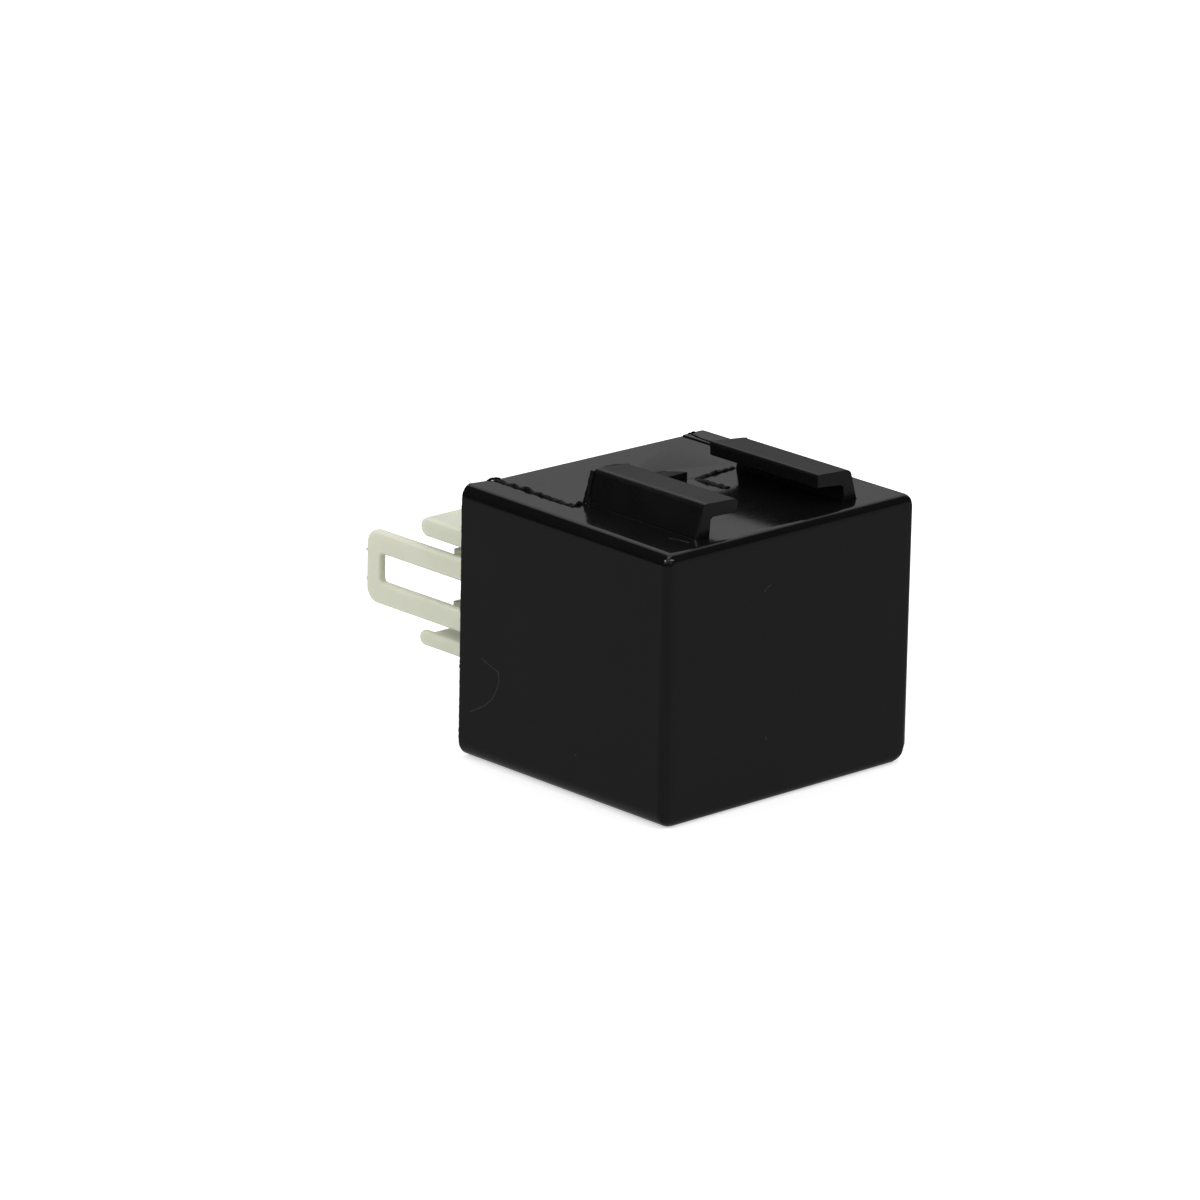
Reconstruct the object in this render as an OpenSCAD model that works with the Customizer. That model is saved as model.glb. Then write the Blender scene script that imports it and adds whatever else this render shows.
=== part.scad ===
// Plug-in automotive relay with a bracket slot on its cap and a latch loop beside its blades.
// Millimetres. X runs across the cap, Y from its closed end towards the blades, Z up to the rails.
// The origin is the middle of the flat face opposite the rails, on which the relay can lie.

/* [Cap] */
// Width of the cap
cap_w = 28; // [27:0.1:30]
// Length of the cap, closed end to rim
cap_len = 24.55; // [24:0.05:28]
// Height of the cap without its rails
cap_h = 23.1; // [22.4:0.1:26]
// Wall of the cap
cap_wall = 1.1; // [0.8:0.1:1.3]
// Radius of the long edges
cap_r = 1.5; // [0.5:0.1:2]
// Radius of the edges round the closed end
end_r = 0.8; // [0.3:0.05:0.9]
// Depth of the step that the mould's insert left on the rail face
step_d = 0.1; // [0.05:0.01:0.2]
// Width of that step
step_w = 21.8; // [19:0.1:24]
// Distance of that step from the rails' ends
step_gap = 0.1; // [0.05:0.05:0.3]

/* [Bracket rails] */
// Height of the rails above the cap
rail_h = 2.9; // [2.5:0.1:4]
// Length of the rails
rail_len = 12.7; // [8:0.1:16]
// Distance of the rails from the closed end
rail_start = 2; // [1.5:0.1:3.5]
// Width of the slot under the rails' flanges
slot_w = 15; // [13:0.1:18]
// Gap between the two flanges
slot_gap = 9; // [7:0.1:11]
// Thickness of the flanges
flange_t = 1.2; // [0.8:0.1:1.6]
// Thickness of the rails' webs at the foot
web_t = 1.6; // [1.2:0.1:2.2]
// Lean of the webs' outer sides, foot to top
web_lean = 0.85; // [0.3:0.05:1]
// Radius of the rails' outer top edges
rail_r = 0.6; // [0.3:0.05:0.8]
// Radius of the flanges' top edges along the slot
lip_r = 0.3; // [0.1:0.05:0.5]
// Radius of the fillets under the flanges
fillet_r = 0.4; // [0.2:0.05:0.6]
// Width of the bracket's catch
catch_w = 4.8; // [3:0.1:6]
// Length of the catch's ramp
catch_len = 3.5; // [2:0.1:5]
// Height of the catch
catch_h = 0.7; // [0.4:0.1:1.2]
// Gap between the rails' ends and the catch
catch_gap = 0.3; // [0.1:0.1:1]

/* [Base] */
// Thickness of the base plate
base_t = 2.4; // [2:0.1:3]
// Depth of the base plate inside the cap's rim
base_recess = 0.6; // [0.2:0.1:1]
// Clearance round the base plate
base_fit = 0.1; // [0.05:0.01:0.2]
// Width of the two connector shelves
shelf_w = 17.2; // [16:0.1:19]
// Height over both shelves
shelf_h = 11.2; // [10.8:0.1:13]
// Thickness of the upper shelf
upper_t = 1.65; // [1.2:0.05:1.9]
// Thickness of the lower shelf
lower_t = 1.3; // [1:0.05:1.9]
// Reach of the shelves past the base plate
shelf_out = 11.75; // [9:0.05:14]
// Width of the lower shelf's two fingers
finger_w = 0.7; // [0.6:0.1:2]
// Length of those fingers
finger_len = 1.25; // [0.5:0.05:3]
// Height of the cradle's ribs inside
rib_h = 3.4; // [3:0.1:5]
// Thickness of the cradle's ribs
rib_t = 0.9; // [0.6:0.1:1]
// Distance of the ribs' ends from the bobbin's sides
rib_inset = 1; // [0.5:0.1:3]
// Distance of the yoke's pads from the leg's edges
pad_inset = 0.5; // [0.2:0.1:1]
// Width of the lugs that snap into the cap
lug_w = 5; // [3:0.1:7]
// Length of those lugs
lug_len = 1.2; // [0.8:0.1:1.6]

/* [Latch loop] */
// Reach of the loop past the base plate
loop_out = 18.05; // [14:0.05:21]
// Height of the loop
loop_h = 6.4; // [5:0.1:7]
// Thickness of the loop
loop_t = 0.85; // [0.7:0.05:1.2]
// Width of the loop's two arms
loop_arm = 1.95; // [1.2:0.05:2.2]
// Width of the bar across the loop's end
loop_bar = 1.7; // [1.2:0.1:3]
// Radius of the loop's outer corners
loop_r = 1.3; // [0.5:0.1:1.6]
// Distance from the shelves' side to the loop's outer face
loop_offset = 0.4; // [0.1:0.05:1]
// Distance of the loop's window from the base plate
window_start = 1; // [0.5:0.1:2]
// Radius of the window's corners
window_r = 0.35; // [0.2:0.05:0.6]

/* [Terminals] */
// Width of the blades
blade_w = 4.8; // [4:0.1:5]
// Thickness of the terminals' sheet
blade_t = 0.8; // [0.6:0.05:0.9]
// Reach of the blades past the base plate
blade_out = 10.5; // [8:0.1:11.5]
// Spacing of the two rows of blades
row_pitch = 4.6; // [4.2:0.1:5]
// Spacing of the two columns of blades
col_pitch = 7.4; // [7:0.1:7.8]
// Diameter of the locking hole in each blade
blade_hole = 1.4; // [1:0.1:2]
// Cut at the corners of the blades' tips
blade_cut = 0.3; // [0.1:0.1:1.2]
// Length of the bevel at the blades' tips
bevel_len = 1.2; // [0.6:0.1:1.8]
// Thickness that this bevel takes off each face
bevel_t = 0.2; // [0.1:0.05:0.25]
// Height of the common terminal's foot on the yoke
foot_len = 3; // [2:0.1:3.4]
// Height of the arms that lie in the base plate
arm_h = 1.3; // [1:0.1:1.5]
// Distance of those arms from the base plate's outer face
arm_depth = 0.8; // [0.5:0.1:1]
// Clearance between the cap's wall and the uprights that carry the contact and the stop
upright_gap = 1.3; // [1:0.1:1.6]
// Clearance between the bobbin and the uprights
coil_gap = 0.5; // [0.3:0.1:0.8]
// Length of the stop's arm on the coil's side of its upright
stop_tail = 1.2; // [0.8:0.1:2]
// Clearance between the contact spring and the stop's upright
stop_gap = 0.2; // [0.1:0.05:0.4]
// Width of the coil terminals' posts
post_w = 1.2; // [0.8:0.1:1.6]
// Height of the posts above the base plate
post_h = 5.4; // [4.5:0.1:7]

/* [Coil and magnet] */
// Width of the bobbin's square flanges
flange_w = 14.6; // [14:0.1:15]
// Thickness of the bobbin's flanges
bobbin_flange_t = 1; // [0.8:0.1:1.4]
// Wall of the bobbin's tube
bobbin_wall = 0.8; // [0.6:0.1:1.2]
// Diameter of the winding
winding_d = 12.8; // [11:0.1:13.4]
// Gap between the winding and the flanges
wind_gap = 0.1; // [0.05:0.05:0.3]
// Diameter of the core
core_d = 6; // [5:0.1:6.5]
// Diameter of the core's pole head
pole_d = 8; // [7:0.1:9]
// Thickness of the pole head
pole_t = 1; // [0.8:0.1:1.2]
// Diameter of the core's riveted tail
tail_d = 4; // [3:0.1:4.6]
// Thickness of the yoke
yoke_t = 1.6; // [1.4:0.1:1.8]
// Width of the yoke
yoke_w = 12; // [10:0.5:13]
// Gap between the bobbin's flange and the yoke
yoke_gap = 1; // [0.6:0.1:1.2]
// Inner radius of the yoke's bend
yoke_r = 0.3; // [0.2:0.1:0.8]
// Reach of the yoke's leg past the core
leg_reach = 1.6; // [1.2:0.1:2.4]
// Diameter of the staking bosses on the yoke
boss_d = 1.6; // [1.2:0.1:2]
// Height of those bosses
boss_h = 0.45; // [0.35:0.05:0.6]
// Diameter of the winding's leads
wire_d = 0.3; // [0.2:0.05:0.4]
// Diameter of the leads' turns round the posts
wrap_d = 2; // [1.9:0.1:2.4]
// Height of those turns
wrap_h = 1.3; // [0.8:0.1:1.8]
// Length of the suppression resistor's body
resistor_len = 6.2; // [5:0.1:7]
// Diameter of the resistor's end caps
resistor_d = 2.2; // [1.8:0.1:2.4]
// Length of the resistor's end caps
resistor_cap = 1.4; // [1:0.1:1.8]
// Diameter of the resistor's leads
resistor_lead = 0.5; // [0.4:0.05:0.6]
// Clearance between the resistor and the cap's wall
resistor_gap = 0.45; // [0.3:0.05:0.6]

/* [Armature and contacts] */
// Room for the armature, contacts and stop, from the core's face to the cap's closed end
end_room = 5; // [4.7:0.1:6]
// Thickness of the armature
armature_t = 1.3; // [1.1:0.1:1.5]
// Width of the armature
armature_w = 11; // [10:0.1:13]
// Radius of the armature's front corners
armature_r = 2; // [1:0.1:3]
// Distance of the armature's front edge from the uprights
front_gap = 1.2; // [0.8:0.1:2]
// Distance of the armature's rear edge from its hinge
rear_gap = 0.5; // [0.3:0.1:0.8]
// Angle of the armature when the coil is off
open_angle = 2.7; // [1.5:0.1:3]
// Thickness of the contact spring
spring_t = 0.25; // [0.15:0.05:0.3]
// Width of the contact spring at its hinge
spring_w = 8; // [7:0.1:9]
// Length of the spring's leg on the yoke
spring_leg = 9; // [8:0.1:11]
// Length of the spring's taper
taper_len = 2.5; // [1.5:0.1:4]
// Cut at the corners of the spring's tip
tip_cut = 0.7; // [0.4:0.1:1]
// Margin of sheet round a contact
contact_rim = 0.1; // [0.05:0.05:0.3]
// Diameter of the contact buttons
contact_d = 3.2; // [2.6:0.1:3.4]
// Height of the contact buttons
contact_h = 0.8; // [0.6:0.05:1]
// Diameter of the contacts' and rivets' shanks
shank_d = 1.4; // [1:0.1:1.6]
// Diameter of the rivets' heads
head_d = 2.4; // [2:0.1:2.8]
// Height of the rivets' heads
head_h = 0.3; // [0.2:0.05:0.4]

/* [Hidden] */
$fn = 64;

// Overlap that keeps a cut or a joined shape from ending on a shared face
eps = 0.01;
// Clearance of a shank, blade or bobbin in its hole
slip = 0.03;
// Air left where moving pieces meet
air = 0.05;

mid_z = cap_h / 2;
end_y = -cap_len / 2;
rim_y = cap_len / 2;
plate_out = rim_y - base_recess;
plate_in = plate_out - base_t;

// The yoke's leg on the base plate, and the stack between it and the closed end
yoke_under = plate_in - blade_t;
leg_top = yoke_under - yoke_t;
pole_y = end_y + cap_wall + end_room;
bobbin_top = pole_y + pole_t + slip;
bobbin_len = leg_top - bobbin_top;
armature_under = pole_y - air;
armature_top = armature_under - armature_t;
spring_top = armature_top - spring_t;

// Across the cap
yoke_in = -(flange_w / 2 + yoke_gap);
yoke_out = yoke_in - yoke_t;
hinge = [yoke_out + 2 * air, armature_under];
upright_x = flange_w / 2 + coil_gap;
upright_w = cap_w / 2 - cap_wall - upright_gap - upright_x;
contact_x = upright_x + upright_w / 2;
post_z = cap_wall + resistor_gap + resistor_d / 2;

// The two rows of blades, and the stop's sheet on the far side of the contact spring's tip
tip_w = contact_d + 2 * contact_rim;
row_z = [mid_z - row_pitch / 2, mid_z + row_pitch / 2];
stop_z = mid_z - tip_w / 2 - stop_gap - blade_t / 2;

// The spring's bend, with its centre on the armature's underside so that it clears the hinge edge
bend_r = armature_t;
bend_x = yoke_out - slip + bend_r;
bend_y = hinge.y - (bend_x - hinge.x) * tan(open_angle);

// Flat sheet lying across Y, drawn in X and Z, from y to y + t
module sheet_xz(y, t) translate([0, y + t, 0]) rotate([90, 0, 0]) linear_extrude(t) children();

// Flat sheet lying across Z, drawn in X and Y, with its middle at z
module sheet_xy(z, t) translate([0, 0, z - t / 2]) linear_extrude(t) children();

// Flat sheet lying across X, drawn in Y and Z, from x to x + t
module sheet_yz(x, t) translate([x, 0, 0]) rotate([90, 0, 90]) linear_extrude(t) children();

// Round bar along Y, from y to y + h
module bar_y(x, y, z, d, h) translate([x, y, z]) rotate([-90, 0, 0]) cylinder(d = d, h = h);

// Both sides, mirrored at the middle of the width
module both_sides() for (side = [0, 1]) mirror([side, 0, 0]) children();

// Pieces that swing with the armature are drawn with the coil on and turned to the coil-off pose
module swung() translate(hinge) rotate([0, 0, -open_angle]) translate(-hinge) children();

// Rectangle from corner to corner
module box2(from, to) translate(from) square(to - from);

// Rounded rectangle with its lower left corner at from
module round_box2(from, to, r) {
    box2(from + [r, 0], to - [r, 0]);
    box2(from + [0, r], to - [0, r]);
    for (x = [from.x + r, to.x - r], y = [from.y + r, to.y - r]) translate([x, y]) circle(r);
}

// Cap body: long edges rounded by cap_r, the closed end's edges by end_r, rim square
module cap_body() {
    half = cap_w / 2;
    past = rim_y + 2 * end_r;
    intersection() {
        sheet_xz(end_y, cap_len) round_box2([-half, 0], [half, cap_h], cap_r);
        sheet_xy(mid_z, cap_h) round_box2([-half, end_y], [half, past], end_r);
        sheet_yz(-half, cap_w) round_box2([end_y, 0], [past, cap_h], end_r);
    }
}

// One bracket rail on the +X side: a leaning web with a flange that reaches over the slot,
// its outer top edge an arc that touches the web's side, its lip rounded, its inner corner filleted
module rail() {
    web_in = slot_w / 2;
    lip = slot_gap / 2;
    foot = web_in + web_t;
    under = rail_h - flange_t;
    slope = norm([web_lean, rail_h]) / rail_h;
    centre = [foot - web_lean * (rail_h - rail_r) / rail_h - rail_r * slope, rail_h - rail_r];
    touch = centre + rail_r * [rail_h, web_lean] / norm([web_lean, rail_h]);
    sheet_xz(end_y + rail_start, rail_len) translate([0, cap_h]) {
        polygon([[web_in, -eps], [web_in, under], [lip, under], [lip, rail_h - lip_r],
                 [lip + lip_r, rail_h - lip_r], [lip + lip_r, rail_h], [centre.x, rail_h],
                 centre, touch, [foot, 0], [foot, -eps]]);
        translate(centre) circle(rail_r);
        translate([lip + lip_r, rail_h - lip_r]) circle(lip_r);
        difference() {
            box2([web_in - fillet_r, under - fillet_r], [web_in + eps, under + eps]);
            translate([web_in - fillet_r, under - fillet_r]) circle(fillet_r);
        }
    }
}

// Catch that stops the bracket: a wall towards the rails and a ramp towards the rim
module catch() {
    wall_y = end_y + rail_start + rail_len + catch_gap;
    sheet_yz(-catch_w / 2, catch_w) translate([wall_y, cap_h - step_d]) polygon([
        [0, -eps], [0, catch_h], [catch_len, 0], [catch_len, -eps]]);
}

// Inside of the cap, open at the rim
module cap_inside() {
    half = cap_w / 2 - cap_wall;
    sheet_xz(end_y + cap_wall, cap_len) box2([-half, cap_wall], [half, cap_h - cap_wall]);
}

// Lug on the base plate's side that snaps into a blind pocket in the cap's wall
module lug(extra) {
    side = cap_w / 2 - cap_wall - base_fit - eps;
    reach = cap_wall / 2 + eps;
    middle = plate_in + base_t / 2;
    translate([side, middle - lug_len / 2 - extra, mid_z - lug_w / 2 - extra])
        cube([reach + extra, lug_len + 2 * extra, lug_w + 2 * extra]);
}

module cap() color([0.13, 0.13, 0.13]) {
    step_y = end_y + rail_start + rail_len + step_gap;
    difference() {
        cap_body();
        cap_inside();
        both_sides() lug(base_fit);
        translate([-step_w / 2, step_y, cap_h - step_d]) cube([step_w, cap_len, cap_h]);
    }
    both_sides() rail();
    catch();
}

// Middle of a column of blades, -1 or 1, and of the coil terminal's post in it
function column_x(column) = column * col_pitch / 2;
function post_x(column) = column_x(column) + column * (blade_w - post_w) / 2;

// Blade in its place in the grid, from the base plate's inner face to its tip
module blade(column, row) {
    tip = plate_out + blade_out;
    half = blade_w / 2;
    translate([column_x(column), 0, row_z[row]]) difference() {
        sheet_xy(0, blade_t) polygon([
            [-half, plate_in - eps], [-half, tip - blade_cut], [-half + blade_cut, tip],
            [half - blade_cut, tip], [half, tip - blade_cut], [half, plate_in - eps]]);
        for (side = [0, 1]) mirror([0, 0, side]) sheet_yz(-blade_w, 2 * blade_w) polygon([
            [tip - bevel_len, blade_t / 2], [tip + eps, blade_t / 2 - bevel_t],
            [tip + eps, blade_t], [tip - bevel_len, blade_t]]);
        translate([0, plate_out + blade_out / 2, -blade_t]) cylinder(d = blade_hole, h = 2 * blade_t);
    }
}

// Slot for a blade through the base plate
module blade_slot(column, row) {
    half = blade_w / 2 + slip;
    translate([column_x(column), 0, row_z[row]]) sheet_xy(0, blade_t + 2 * slip)
        box2([-half, plate_in - 2 * eps], [half, plate_out + eps]);
}

// Foot of the common terminal: folded up on the inner face, under the yoke, and welded to it
module common_terminal() color([0.78, 0.78, 0.76]) {
    blade(-1, 1);
    translate([column_x(-1) - blade_w / 2, plate_in - blade_t, row_z[1] - blade_t / 2])
        cube([blade_w, blade_t, blade_t + foot_len]);
}

// Arm in the plate's groove and the upright beside the coil, as an outline in X and Y
arm_y = plate_out - arm_depth;
module upright_outline(from_x, top) {
    box2([from_x, arm_y - arm_h], [upright_x + upright_w, arm_y]);
    box2([upright_x, top], [upright_x + upright_w, arm_y]);
}

// Fixed contact's seat: its face towards the moving contact, with the coil on
seat_y = armature_top + contact_h + air + contact_h;
module contact_terminal() color([0.72, 0.48, 0.3]) difference() {
    union() {
        blade(1, 1);
        sheet_xy(row_z[1], blade_t) upright_outline(column_x(1) - blade_w / 2, seat_y);
        translate([upright_x, seat_y, mid_z - tip_w / 2])
            cube([upright_w, blade_t, row_z[1] - mid_z + tip_w / 2]);
    }
    bar_y(contact_x, seat_y - blade_t, mid_z, shank_d + 2 * slip, 3 * blade_t);
}

// Stop above the free end of the contact spring, on the far side of it from the seat
function turned(p) = hinge + [[cos(open_angle), sin(open_angle)],
                              [-sin(open_angle), cos(open_angle)]] * (p - hinge);
stop_y = turned([contact_x + head_d / 2, spring_top - head_h]).y - blade_t - air;
module back_stop() color([0.75, 0.73, 0.68]) {
    sheet_xy(stop_z, blade_t) upright_outline(upright_x - stop_tail, stop_y);
    translate([upright_x, stop_y, stop_z]) cube([upright_w, blade_t, mid_z + tip_w / 2 - stop_z]);
}

// Coil terminal: blade, foot in the plate's pocket and the post that the wire is wrapped on
module coil_terminal(column) {
    corner = [post_x(column) - post_w / 2, plate_in, post_z - blade_t / 2];
    blade(column, 0);
    translate(corner) cube([post_w, blade_t, row_z[0] - corner.z]);
    translate(corner - [0, post_h, 0]) cube([post_w, post_h + blade_t, blade_t]);
}
module coil_terminal_left() color([0.8, 0.8, 0.78]) coil_terminal(-1);
module coil_terminal_right() color([0.8, 0.8, 0.78]) coil_terminal(1);

// One shelf of the connector, its end fully rounded, from z to z + t
module shelf(z, t) {
    reach = plate_out + shelf_out;
    sheet_yz(-shelf_w / 2, shelf_w) {
        box2([plate_out - eps, z], [reach - t / 2, z + t]);
        translate([reach - t / 2, z + t / 2]) circle(d = t);
    }
}

// Latch loop: one arm each side of a window, in the plane beside the shelves
module latch_loop() {
    reach = plate_out + loop_out;
    low = mid_z - loop_h / 2;
    outer_x = -shelf_w / 2 - loop_offset;
    sheet_yz(outer_x, loop_t) difference() {
        union() {
            box2([plate_out - eps, low], [reach - loop_r, low + loop_h]);
            round_box2([reach - 3 * loop_r, low], [reach, low + loop_h], loop_r);
        }
        round_box2([plate_out + window_start, low + loop_arm],
                   [reach - loop_bar, low + loop_h - loop_arm], window_r);
    }
}

// Groove and pocket that an arm and a coil terminal's foot take in the base plate
module groove(from_x, z) sheet_xy(z, blade_t + 2 * slip)
    box2([from_x - slip, plate_in - eps], [upright_x + upright_w + slip, arm_y + slip]);
module foot_pocket(column) {
    corner = [post_x(column) - post_w / 2 - slip, plate_in - eps, post_z - blade_t / 2 - slip];
    translate(corner) cube([post_w + 2 * slip, blade_t + slip + eps, row_z[0] - corner.z]);
}

// Block on the base plate that carries the yoke's leg, from corner to corner in X and Z
leg_end = core_d / 2 + leg_reach;
module pad(from, to) sheet_xz(yoke_under, blade_t + eps) box2(from, to);

module base() color([0.84, 0.85, 0.77]) {
    half_x = cap_w / 2 - cap_wall - base_fit;
    edge_z = cap_wall + base_fit;
    rib_in = flange_w / 2 + base_fit;
    pad_z = yoke_w / 2 - pad_inset;
    upper_z = mid_z + shelf_h / 2 - upper_t;
    lower_z = mid_z - shelf_h / 2;
    difference() {
        union() {
            sheet_xz(plate_in, base_t) box2([-half_x, edge_z], [half_x, cap_h - edge_z]);
            both_sides() lug(0);
            sheet_xz(plate_in - rib_h, rib_h + eps) for (side = [-1, 1])
                translate([0, mid_z + side * (rib_in + rib_t / 2)])
                    square([flange_w - 2 * rib_inset, rib_t], center = true);
            pad([yoke_in + pad_inset, mid_z - pad_z], [leg_end - pad_inset, row_z[0] - blade_t]);
            pad([column_x(-1) + blade_w / 2 + pad_inset, row_z[1] + blade_t],
                [leg_end - pad_inset, mid_z + pad_z]);
        }
        for (column = [-1, 1], row = [0, 1]) blade_slot(column, row);
        groove(column_x(1) - blade_w / 2, row_z[1]);
        groove(upright_x - stop_tail, stop_z);
        for (column = [-1, 1]) foot_pocket(column);
    }
    shelf(upper_z, upper_t);
    difference() {
        shelf(lower_z, lower_t);
        translate([-shelf_w / 2 + finger_w, plate_out + shelf_out - finger_len, lower_z - eps])
            cube([shelf_w - 2 * finger_w, finger_len + eps, lower_t + 2 * eps]);
    }
    latch_loop();
}

module bobbin() color([0.2, 0.22, 0.2]) {
    bore = core_d + 2 * slip;
    half = flange_w / 2;
    difference() {
        union() {
            for (y = [bobbin_top, leg_top - bobbin_flange_t])
                sheet_xz(y, bobbin_flange_t) translate([0, mid_z])
                    round_box2([-half, -half], [half, half], cap_r);
            bar_y(0, bobbin_top, mid_z, bore + 2 * bobbin_wall, bobbin_len);
        }
        bar_y(0, bobbin_top - eps, mid_z, bore, bobbin_len + 2 * eps);
    }
}

module coil_winding() color([0.72, 0.36, 0.16]) difference() {
    from_y = bobbin_top + bobbin_flange_t + wind_gap;
    length = bobbin_len - 2 * bobbin_flange_t - 2 * wind_gap;
    bar_y(0, from_y, mid_z, winding_d, length);
    bar_y(0, from_y - eps, mid_z, core_d + 4 * slip + 2 * bobbin_wall, length + 2 * eps);
}

module core() color([0.62, 0.62, 0.64]) {
    bar_y(0, pole_y, mid_z, pole_d, pole_t);
    bar_y(0, pole_y + pole_t - eps, mid_z, core_d, leg_top - pole_y - pole_t + eps);
    bar_y(0, leg_top - eps, mid_z, tail_d, yoke_t + eps);
}

// Staking bosses that hold the contact spring's leg, in line with the armature's rivets
boss_y = pole_y + spring_leg * 0.6;
rivet_z = [mid_z - spring_w / 4, mid_z + spring_w / 4];
module yoke() color([0.66, 0.66, 0.68]) difference() {
    bend = yoke_t + yoke_r;
    union() {
        sheet_xy(mid_z, yoke_w) {
            box2([yoke_out, pole_y], [yoke_in, yoke_under - bend]);
            box2([yoke_out + bend, leg_top], [leg_end, yoke_under]);
            difference() {
                translate([yoke_out + bend, yoke_under - bend]) circle(bend);
                box2([yoke_in, pole_y], [yoke_out + 3 * bend, leg_top]);
            }
        }
        for (z = rivet_z) translate([yoke_out - boss_h, boss_y, z])
            rotate([0, 90, 0]) cylinder(d = boss_d, h = boss_h + eps);
    }
    bar_y(0, leg_top - eps, mid_z, tail_d + 2 * slip, yoke_t + 2 * eps);
    for (z = rivet_z) translate([yoke_in - boss_h, boss_y, z])
        rotate([0, 90, 0]) cylinder(d = boss_d, h = boss_h + eps);
}

// Armature, its rear edge cut under the spring's bend
armature_front = upright_x - front_gap;
rivet_x = yoke_in / 2;
module armature() color([0.7, 0.7, 0.72]) swung() difference() {
    rear = hinge.x + rear_gap;
    cut = armature_t / 2;
    half = armature_w / 2;
    sheet_xz(armature_top, armature_t) translate([0, mid_z]) {
        box2([rear, -half], [armature_front - armature_r, half]);
        round_box2([rear + armature_r, -half], [armature_front, half], armature_r);
    }
    sheet_xy(mid_z, armature_w + eps) polygon([
        [rear - eps, armature_top + cut + eps], [rear + cut + eps, armature_top - eps],
        [rear - eps, armature_top - eps]]);
    for (z = rivet_z) bar_y(rivet_x, armature_top - eps, z, shank_d + 2 * slip, armature_t + 2 * eps);
}

// Points along an arc round c, from angle a to angle b
function arc(c, r, a, b) = [for (t = [0:12]) c + r * [cos(a + (b - a) * t / 12),
                                                      sin(a + (b - a) * t / 12)]];

// Contact spring: one strip from the leg staked to the yoke, round the hinge, to the contact
spring_tip = contact_x + tip_w / 2;
module spring_section() {
    centre = [bend_x, bend_y];
    leg_y = bend_y + spring_leg;
    outer_r = bend_r + spring_t;
    polygon(concat([[bend_x - outer_r, leg_y]], arc(centre, outer_r, 180, 270 - open_angle),
                   [turned([spring_tip, spring_top]), turned([spring_tip, armature_top])],
                   arc(centre, bend_r, 270 - open_angle, 180), [[bend_x - bend_r, leg_y]]));
}

// What the plan loses on each side between the hinge's width and the tip's, corner cut included
module spring_side_cut() {
    half = tip_w / 2;
    lean = taper_len / ((spring_w - tip_w) / 2);
    polygon([[armature_front, half], [spring_tip - tip_cut, half], [spring_tip, half - tip_cut],
             [spring_tip + 1, half - tip_cut], [spring_tip + 1, spring_w],
             [armature_front - (spring_w - half) * lean, spring_w]]);
}
module contact_spring() color([0.78, 0.6, 0.38]) difference() {
    sheet_xy(mid_z, spring_w) spring_section();
    swung() {
        for (side = [0, 1]) sheet_xz(spring_top - 1, spring_t + 2)
            translate([0, mid_z]) mirror([0, side]) spring_side_cut();
        for (z = rivet_z) bar_y(rivet_x, spring_top - 1, z, shank_d + 2 * slip, spring_t + 2);
        bar_y(contact_x, spring_top - 1, mid_z, shank_d + 2 * slip, spring_t + 2);
    }
    for (z = rivet_z) translate([yoke_out - 2 * boss_h, boss_y, z]) rotate([0, 90, 0])
        cylinder(d = boss_d + 8 * air, h = 2 * boss_h);
}

// Rivet along Y: its head ends at head_y and its shank runs on for length
module rivet(x, head_y, z, length) {
    bar_y(x, head_y - head_h, z, head_d, head_h);
    bar_y(x, head_y - eps, z, shank_d, length + eps);
}
module armature_rivets() color([0.75, 0.68, 0.5]) swung()
    for (z = rivet_z) rivet(rivet_x, spring_top, z, spring_t + armature_t);

module moving_contact() color([0.85, 0.85, 0.83]) swung() {
    rivet(contact_x, spring_top, mid_z, spring_t + eps);
    bar_y(contact_x, armature_top, mid_z, contact_d, contact_h);
}

module fixed_contact() color([0.85, 0.85, 0.83]) {
    bar_y(contact_x, seat_y - contact_h, mid_z, contact_d, contact_h);
    bar_y(contact_x, seat_y - eps, mid_z, shank_d, blade_t + 2 * eps);
    bar_y(contact_x, seat_y + blade_t, mid_z, head_d, head_h);
}

// Wire from the winding to its post, and its turns round the post
module coil_lead(column) {
    x = post_x(column);
    wire_y = leg_top - bobbin_flange_t - wind_gap - wire_d;
    near_z = mid_z - sqrt(pow(winding_d / 2, 2) - x * x) - wire_d / 2;
    from_z = post_z + blade_t / 2 + slip;
    translate([x, wire_y, from_z]) cylinder(d = wire_d, h = near_z - from_z);
    difference() {
        bar_y(x, wire_y - wrap_h + wire_d, post_z, wrap_d, wrap_h);
        translate([x - post_w / 2 - slip, wire_y - wrap_h, post_z - blade_t / 2 - slip])
            cube([post_w + 2 * slip, 2 * wrap_h, blade_t + 2 * slip]);
    }
}
module coil_lead_left() color([0.75, 0.4, 0.18]) coil_lead(-1);
module coil_lead_right() color([0.75, 0.4, 0.18]) coil_lead(1);

// Suppression resistor lying between the tops of the two posts
module suppression_resistor() color([0.55, 0.68, 0.75]) {
    post_top = plate_in - post_h;
    axis_y = post_top - resistor_d / 2 - 2 * air;
    translate([0, axis_y, post_z]) rotate([0, 90, 0]) {
        cylinder(d = resistor_d - 6 * air, h = resistor_len, center = true);
        for (side = [-1, 1]) translate([0, 0, side * (resistor_len - resistor_cap) / 2])
            cylinder(d = resistor_d, h = resistor_cap, center = true);
        cylinder(d = resistor_lead, h = 2 * post_x(1), center = true);
    }
    both_sides() {
        translate([post_x(1), axis_y, post_z]) sphere(d = resistor_lead);
        bar_y(post_x(1), axis_y, post_z, resistor_lead, post_top - axis_y);
    }
}

cap();
base();
common_terminal();
contact_terminal();
coil_terminal_left();
coil_terminal_right();
back_stop();
bobbin();
coil_winding();
core();
yoke();
armature();
contact_spring();
armature_rivets();
moving_contact();
fixed_contact();
coil_lead_left();
coil_lead_right();
suppression_resistor();
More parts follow.
